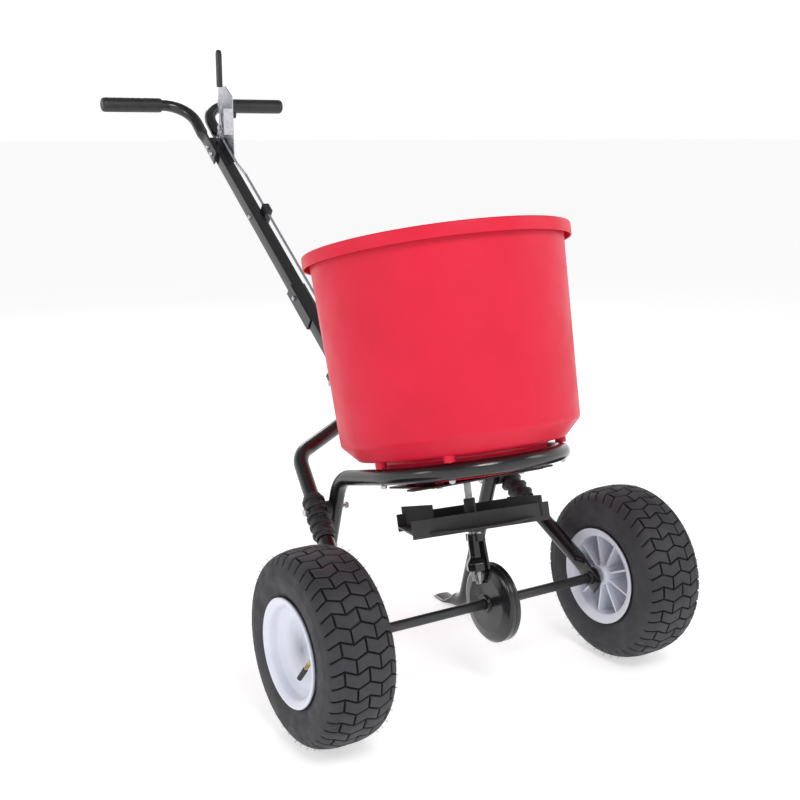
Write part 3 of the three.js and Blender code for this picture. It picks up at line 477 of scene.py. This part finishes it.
HANDLE_TUBE = handle_tube()
GRIP_AT = vec(0, 1013.9, 1188.1)
ARM_X = {"left": 21.1, "right": 18.6}
ARM_FLAT = 4.0


def grip_arm(x):
    """Round tube bent out to a grip, its lower end pressed flat against the shaft."""
    path = bent([(on_shaft(x, -32), 0), (on_shaft(x, 82, 2), 200), (GRIP_AT + vec(x, 0, 0), 69),
                 (GRIP_AT + vec(235, 0, 0), 0)], 16)
    p, f = swept(dense(path, 5), TUBE_R - 0.2)
    away = p - DATUM
    flat = eased(clamp01((70 - away @ ALONG) / 28))
    p = p + OFF * ((away @ OFF) * 0.3 * flat)[:, None]
    p[:, 0] = x + (p[:, 0] - x) * (1 - (1 - ARM_FLAT / TUBE_R) * flat)
    return p, f


grip_profile = softened([(0, 236), (0, 241), (12.5, 241), (16.4, 238.6), (17.9, 233), (17.9, 97), (17.2, 93),
                         (16.6, 91), (14.8, 91), (14.8, 236)], 1.6, 4)
grip = turned(grip_profile, GRIP_AT, (1, 0, 0), 72)
bush_profile = [(BORE_R, -9), (12.7, -9), (12.7, 5.2), (19, 5.2), (19, 8), (BORE_R, 8)]
bush = turned(softened(bush_profile, 0.8), (BUSH_X, 0, 0), (1, 0, 0), 64)
spacer_profile = [(AXLE_R + GAP, 260.2), (15, 260.2), (15, 269.6), (AXLE_R + GAP, 269.6)]
spacer = turned(softened(spacer_profile, 0.8), (0, 0, 0), (1, 0, 0), 48)
for name, side in SIDES:
    for node, part in (("handle_tube", HANDLE_TUBE), ("grip_arm", grip_arm(ARM_X[name])), ("grip", grip),
                       ("axle_bush", bush), ("axle_spacer", spacer)):
        make(f"{node}_{name}", [mirrored(part, side)], crease=50)


# ---------- frame tube: U ring, legs and pressed feet ----------
def frame_tube():
    """One bent tube, its feet pressed flat on the floor past 350 mm behind the axle."""
    toe, ring_end = stood(184, 412, TUBE_R), vec(RING_R, 30, RING_Z)
    half = bent([(toe, 0), (FOOT_BEND, 45), (LEG_TOP, 62), (ring_end, 0)], 14)
    turn = np.linspace(0, math.pi, 61)
    arc = [vec(RING_R * math.cos(a), -RING_R * math.sin(a), RING_Z) for a in turn]
    other = [p * vec(-1, 1, 1) for p in reversed(half)]
    p, f = swept(dense([*half[:-1], *arc, *other[1:]]), TUBE_R)
    y = p[:, 1] * LEAN_COS + p[:, 2] * LEAN_SIN
    h = p[:, 2] * LEAN_COS - p[:, 1] * LEAN_SIN + WHEEL_R
    flat = clamp01((y - 350) / 24) * (h <= 60)
    side = np.sign(p[:, 0])
    x = np.where(flat > 0, side * (183 + (np.abs(p[:, 0]) - 183) * (1 + 0.35 * flat)), p[:, 0])
    h = h + (np.maximum(h - 6, 0) * 0.24 - h) * flat - WHEEL_R
    return np.stack([x, y * LEAN_COS - h * LEAN_SIN, y * LEAN_SIN + h * LEAN_COS], 1), f


make("frame_tube", [frame_tube()], crease=50)


# ---------- ribbed clamps ----------
def crossing(a, b, c, d):
    """Where lines a-b and c-d cross when seen from the side, at x = 0."""
    u, v = b - a, d - c
    t = ((c[1] - a[1]) * v[2] - (c[2] - a[2]) * v[1]) / (u[1] * v[2] - u[2] * v[1])
    return (a + u * t) * vec(0, 1, 1)


CLAMP_AT = crossing(KNEE, OUTER_BEND, LEG_TOP, FOOT_BEND)
TUBE_DIR = unit(OUTER_BEND - KNEE)
tube_x = BUSH_X + (OUTER_BEND[0] - BUSH_X) * (CLAMP_AT[1] - KNEE[1]) / (OUTER_BEND[1] - KNEE[1])
sleeve_at = CLAMP_AT + vec(tube_x, 0, 0) - TUBE_DIR * 18
outline = [(15.3, -50), (17.4, -50)]
for k in range(-2, 3):
    outer = 22.4 - abs(k) * 0.5
    outline += [(17.4, k * 19 - 4.2), (outer, k * 19 - 3), (outer, k * 19 + 3), (17.4, k * 19 + 4.2)]
outline += [(17.4, 50), (15.3, 50)]
clamp_parts = [turned(softened(outline, 0.9), sleeve_at, TUBE_DIR, 64),
               rod(CLAMP_AT + vec(189, 0, 0), CLAMP_AT + vec(tube_x - 15, 0, 0), 14.6, 40)]
for name, side in SIDES:
    make(f"clamp_{name}", [mirrored(p, side) for p in clamp_parts], crease=40)

# ---------- control rod, axle, spinner ----------
ROD_X, ROD_OFF, ROD_LOW, PIVOT_S = 22.0, 19.0, -1040.0, 14.0
ROD_CORNERS = [((-7, PIVOT_S, 28), 0), ((9, PIVOT_S, 28), 4.5), ((9, -92, 28), 20),
               ((ROD_X, -122, ROD_OFF), 20), ((ROD_X, ROD_LOW, ROD_OFF), 4.5), ((8, ROD_LOW, ROD_OFF), 0)]
rod_path = bent([(on_shaft(*corner), radius) for corner, radius in ROD_CORNERS], 8)
make("control_rod", [swept(rod_path, 3.0, 20)], crease=50)
make("axle", [rod((-352, 0, 0), (352, 0, 0), AXLE_R, 64, 1.2)], DARK_STEEL)
make("spinner_shaft", [rod((0, 0, 38), (0, 0, 330), 6.5, 48, 0.9)])
make("agitator", [rod((-46, 0, 300), (46, 0, 300), 2.6, 24, 0.6)])
make("drive_pin", [rod((281, 0, -24), (281, 0, 24), 2.5, 24, 0.5)])

# ---------- gear case ----------
case_in = [(BORE_R, 0.5), (17, 0.5), (17, 5.5), (50, 5.5), (66, 9), (72, 13), (72, 21.85), (69.5, 21.85),
           (69.5, 14.5), (64.5, 11.2), (49.5, 8), (BORE_R, 8)]
case_out = [(BORE_R, 36), (48, 36), (65, 32.5), (69.5, 29.5), (69.5, 22.15), (72, 22.15), (72, 31), (66, 35),
            (49, 38.5), (17, 38.5), (17, 42), (BORE_R, 42)]
neck = softened([(6.7, 62), (19, 62), (21, 64), (21, 76), (13, 88), (13, 128), (6.7, 128)], 1.5)
web = [(-19, 128), (-19, 116), (-24, 64), (24, 64), (19, 116), (19, 128)]
right_shell = turned(softened(case_in, 1.6, 4), direction=(1, 0, 0), sides=128)
left_shell = turned(softened(case_out, 1.6, 4), direction=(1, 0, 0), sides=128)
neck_parts = [turned(neck, sides=8), prism(web, 6, 10.5, axis="x"), block(-4.5, 10.5, -20, 20, 116, 128)]
make("gear_case_right", [right_shell, *neck_parts], crease=32)
make("gear_case_left", [left_shell], crease=32)

# ---------- impeller ----------
FIN_AZ = math.radians(-21)
blades = [about_z(block(-123, 123, s * 76 - 1.2, s * 76 + 1.2, 143, 175), FIN_AZ) for s in (1, -1)]
blades += [about_z(block(-123, 123, -76, 76, 150, 153), FIN_AZ)]
blade = block(-1.3, 1.3, -35, 35, 151, 188)
blades += [about_z(blade, math.atan2(27, 64), (-s * 61, s * 83, 0)) for s in (1, -1)]
disc = turned(softened([(6.8, 150), (121.5, 150), (121.5, 153), (6.8, 153)], 0.8), sides=128)
hub = turned(softened([(6.8, 133), (10.5, 133), (10.5, 193), (6.8, 193)], 0.8), sides=48)
make("impeller", [disc, hub, *blades], crease=35, bevel=0.5)


# ---------- wheels ----------
def chaikin(points, times=3):
    """Rounds an open 2-D line by cutting its corners."""
    p = np.asarray(points, float)
    for _ in range(times):
        q = np.empty((2 * len(p), 2))
        q[1:-1:2], q[2:-1:2] = 0.75 * p[:-1] + 0.25 * p[1:], 0.25 * p[:-1] + 0.75 * p[1:]
        q[0], q[-1] = p[0], p[-1]
        p = q
    return p


TYRE_HALF = [(WHEEL_R, 0), (WHEEL_R, 22), (158, 50), (141, 61.5), (116, 63.5), (93, 57.2), (80.4, 47)]
ROWS = 44
COLUMN = 42.0
ZIG = 8.5
GROOVE = 1.25
DEPTH = 4.6
TREAD_EDGE = 66.0
SHORT_GROOVE_EDGE = 60.0
WALL_RINGS = (98, 127, 147)


def tread_lines(length):
    """Distances round the tyre's section from its middle, closer together at the grooves."""
    marks = []
    for u in (0, 0.5, 1.0, 1.5):
        at = u * COLUMN
        marks += [at + d for d in (-3.2, -2.0, -GROOVE, -0.3, 0.3, GROOVE, 2.0, 3.2)]
    marks += list(np.arange(6, 66, 4.5)) + [TREAD_EDGE - 2, TREAD_EDGE, TREAD_EDGE + 2]
    marks = sorted({round(m, 2) for m in marks if m > 0.2})
    us = np.array([0.0] + marks + list(np.linspace(TREAD_EDGE + 5, length, 30)))
    return np.concatenate([-us[:0:-1], us])


def tyre():
    """Turf tread: zigzag grooves across, and short grooves along the tread that shift by half a column
    from row to row. Gives the outside, the lining and the relief of each outside point."""
    half = chaikin(TYRE_HALF)
    arc = np.concatenate([[0], np.cumsum(np.linalg.norm(np.diff(half, axis=0), axis=1))])
    inside = chaikin([(80.4, 47), (80.4, 38), (110, 54), (142, 52), (156, 24), (156, 0)], 2)
    us = tread_lines(arc[-1])
    r = np.interp(np.abs(us), arc, half[:, 0])
    x = np.interp(np.abs(us), arc, half[:, 1]) * np.sign(us)
    tangent = np.stack([np.gradient(r), np.gradient(x)], 1)
    tangent /= np.linalg.norm(tangent, axis=1)[:, None]
    normal = np.stack([tangent[:, 1], -tangent[:, 0]], 1)
    pitch = 2 * math.pi * WHEEL_R / ROWS
    local = [-1.9, -GROOVE, -0.35, 0.35, GROOVE, 1.9, 2.9, 7, 12, 17, pitch - 2.9]
    rows = np.array([(k, d) for k in range(ROWS) for d in local])
    v0 = rows[:, 0] * pitch + rows[:, 1]
    fold = np.abs(((us / COLUMN) % 1.0) - 0.5) * 2
    zig = ZIG * (fold - 0.5) * clamp01((TREAD_EDGE + 12 - np.abs(us)) / 12)
    theta = (v0[:, None] + zig[None, :]) / WHEEL_R
    along = rows[:, 1][:, None]
    over = clamp01((TREAD_EDGE - np.abs(us)) / 4)[None, :]
    cross = (np.abs(along) <= GROOVE + 0.01) * over
    phase = np.where((rows[:, 0] % 2) == 0, 0.0, 0.5)[:, None]
    off = (us[None, :] / COLUMN + phase) % 1.0
    near = np.minimum(off, 1 - off) * COLUMN
    from_short = np.where(along > 0, near, 99.0)
    has_short = np.abs(us)[None, :] < SHORT_GROOVE_EDGE
    short = (from_short <= GROOVE + 0.01) * over * has_short
    sunk = np.maximum(cross, short)
    edge = np.maximum((np.abs(along) <= 1.95) * over, (from_short <= 2.05) * over * has_short)
    drop = sunk * DEPTH + (1 - sunk) * edge * 0.45
    on_wall = np.abs(us) > TREAD_EDGE + 6
    bead = sum(0.7 * np.exp(-((r - q) / 1.3) ** 2) for q in WALL_RINGS) * on_wall
    lower = 0.8 * on_wall
    drop = drop + (lower - bead)[None, :]
    rr = r[None, :] - drop * normal[:, 0][None, :]
    xx = x[None, :] - drop * normal[:, 1][None, :]
    # relief is 1 on the tread and falls to 0 at the bottom of the grooves; the tyre material paints shade
    # where it is low.
    relief = 1 - np.clip(drop / DEPTH, 0, 1) ** 0.5 * (sunk > 0)
    n, m = theta.shape
    outer = np.stack([np.broadcast_to(xx, (n, m)), -rr * np.cos(theta), rr * np.sin(theta)], 2)
    faces = []
    for i in range(n):
        a, b = i * m, ((i + 1) % n) * m
        faces += [(a + j, a + j + 1, b + j + 1, b + j) for j in range(m - 1)]
    lining = [*inside, *[(q[0], -q[1]) for q in inside[::-1]]]
    closed = turned([*lining, (80.0, -47.0), (80.0, 47.0)], direction=(1, 0, 0), sides=96)
    return (outer.reshape(-1, 3), faces), closed, relief.reshape(-1)


HAIR_R, HAIR_X = 157.5, 49.5


def hairs(count=84):
    """Thin moulding hairs on the tyre's shoulders."""
    rng = np.random.default_rng(7)
    out = []
    for k in range(count):
        a = 2 * math.pi * (k + rng.uniform(-0.3, 0.3)) / count
        side = 1 if k % 2 else -1
        radial = vec(0, -math.cos(a), math.sin(a))
        at = radial * HAIR_R + vec(side * HAIR_X, 0, 0)
        lean = vec(side * rng.uniform(0.3, 1.1), rng.uniform(-0.3, 0.3), rng.uniform(-0.3, 0.3))
        way = unit(radial * 0.9 + lean)
        out.append(turned([(0, -1), (0.5, 0), (0.35, rng.uniform(2.5, 5.0)), (0, 5.2)], at, way, 5))
    return out


RIM_FACE = [(0, 30.5), (64, 34.5), (75.5, 40), (75.5, -54), (92, -62.4), (92, -58.2), (80, -50), (80, 50),
            (92, 58.2), (92, 62.2), (88, 62.9), (78, 57), (74.5, 44.5), (62, 37), (0, 34)]
RIBS = 9
VALVE_AZ = math.pi + 0.05


def rim_parts():
    shell = turned(softened(RIM_FACE, 3.2, 5), direction=(1, 0, 0), sides=144)
    bore_profile = [(AXLE_R + 0.2, -58), (19, -58), (21, 31), (AXLE_R + 0.2, 31)]
    bore = turned(softened(bore_profile, 1.5), direction=(1, 0, 0), sides=64)
    rib = block(-48, 32, -1.8, 1.8, 17.5, 76.5)
    ribs = [about_x(rib, 2 * math.pi * k / RIBS) for k in range(RIBS)]
    return [shell, bore, *ribs]


THREADS = 9


def valve_parts():
    """Bent stem with raised thread rings, and its fluted cap."""
    c, s = math.cos(VALVE_AZ), math.sin(VALVE_AZ)
    start, knee, end = vec(50, 79 * c, 79 * s), vec(51, 66 * c, 66 * s - 2), vec(63.5, -38, -36)
    stem = [swept(bent([(start, 0), (knee, 9), (knee + (end - knee) * 0.45, 0)], 8), 3.1, 24)]
    for k in range(THREADS):
        at = knee + (end - knee) * (0.2 + 0.026 * k)
        stem.append(rod(at, at + unit(end - knee) * 0.5, 3.5, 24, 0.2))
    cap = rod(knee + (end - knee) * 0.462, knee + (end - knee) * 0.99, 4.35, 72, 0.8, 18, 0.035)
    return stem, cap


outer_tyre, tyre_lining, relief = tyre()
tyre_parts = [outer_tyre, tyre_lining, *hairs()]
leaned = [about_x(part, LEAN) for part in tyre_parts]
plain_points = sum(len(part[0]) for part in tyre_parts) - len(relief)
relief = np.concatenate([relief, np.ones(plain_points)])
stem_parts, cap_part = valve_parts()
for name, side in SIDES:
    make(f"tyre_{name}", [mirrored(p, side, TRACK_HALF) for p in leaned], crease=38, relief=relief)
    make(f"rim_{name}", [mirrored(p, side, TRACK_HALF) for p in rim_parts()], crease=35)
    make(f"valve_{name}", [mirrored(p, side, TRACK_HALF) for p in stem_parts], crease=40)
    make(f"valve_cap_{name}", [mirrored(cap_part, side, TRACK_HALF)], crease=50)

# ---------- CAD nodes that stay, with rounded edges and their own finish ----------
DEFAULT_EDGE = 0.45
EDGE = {"lever_sleeve": 2.2, "shaft_coupler": 1.0, "rod_guide": 1.2, "gauge_bracket": 0.5, "rate_stop": 0.8}
for node, piece in frame["nodes"].items():
    if piece.hide_render:
        continue
    piece.data.materials.clear()
    piece.data.materials.append(SLOTS[NODE_SLOT[node]])
    round_edges(piece, EDGE.get(node, DEFAULT_EDGE), 4 if node in EDGE else 2)

# ---------- floor, light and camera ----------
FLOOR_SIZE, FLOOR_DROP, FLOOR_GLOW = 400, 0.0006, 0.52
FLOOR = finish("pale_floor", (0.86, 0.86, 0.86), (0.84, 0.84, 0.845), (0.7, 0.8), patches=1.5, grain=60,
               depth=0.0001)
floor_shader = FLOOR.node_tree.nodes["Principled BSDF"]
floor_shader.inputs["Emission Color"].default_value = (1, 1, 1, 1)
floor_shader.inputs["Emission Strength"].default_value = FLOOR_GLOW
bpy.ops.mesh.primitive_plane_add(size=FLOOR_SIZE, location=(0, 0, -FLOOR_DROP))
ground = bpy.context.object
ground.name = "floor"
ground.data.materials.append(FLOOR)

# The sky is white at the horizon and grey overhead: (height, colour) of each end.
SKY = ((0.20, (1.0, 1.0, 1.0, 1)), (0.70, (0.26, 0.26, 0.27, 1)))
SKY_STRENGTH = 1.1
world = bpy.data.worlds.new("studio")
world.use_nodes = True
sky = world.node_tree
height = sky.nodes.new("ShaderNodeSeparateXYZ")
sky.links.new(sky.nodes.new("ShaderNodeTexCoord").outputs["Generated"], height.inputs["Vector"])
shade = sky.nodes.new("ShaderNodeValToRGB")
for stop, (position, colour) in zip(shade.color_ramp.elements, SKY):
    stop.position = position
    stop.color = colour
sky.links.new(height.outputs["Z"], shade.inputs["Fac"])
sky.links.new(shade.outputs["Color"], sky.nodes["Background"].inputs["Color"])
sky.nodes["Background"].inputs["Strength"].default_value = SKY_STRENGTH
bpy.context.scene.world = world

LIT_POINT = Vector((0, -0.3, 0.55))


def soft_light(name, at, size, power):
    """Disc light of a size in metres and a power in watts, aimed at the hopper."""
    data = bpy.data.lights.new(name, "AREA")
    data.shape, data.size, data.energy = "DISK", size, power
    lamp = bpy.data.objects.new(name, data)
    lamp.location = at
    lamp.rotation_mode = "QUATERNION"
    lamp.rotation_quaternion = (LIT_POINT - Vector(at)).to_track_quat("-Z", "Y")
    bpy.context.scene.collection.objects.link(lamp)


soft_light("key", (-0.4, -2.8, 3.0), 1.3, 40)
soft_light("side", (-3.0, -0.6, 2.0), 1.0, 10)
soft_light("fill", (2.8, -2.2, 2.4), 1.4, 14)
soft_light("back", (0.6, 3.2, 2.6), 1.6, 26)

bpy.context.scene.view_settings.view_transform = "Standard"

CAMERA_AT = (-1.15875, -2.16949, 0.98932)
CAMERA_LOOKS = Vector((0.5101, 0.8312, -0.2212))
LENS, SENSOR = 52.71, 36.0
camera = bpy.data.objects.new("camera", bpy.data.cameras.new("camera"))
camera.location = CAMERA_AT
camera.rotation_mode = "QUATERNION"
camera.rotation_quaternion = CAMERA_LOOKS.to_track_quat("-Z", "Y")
camera.data.lens = LENS
camera.data.sensor_width = SENSOR
bpy.context.scene.collection.objects.link(camera)
bpy.context.scene.camera = camera
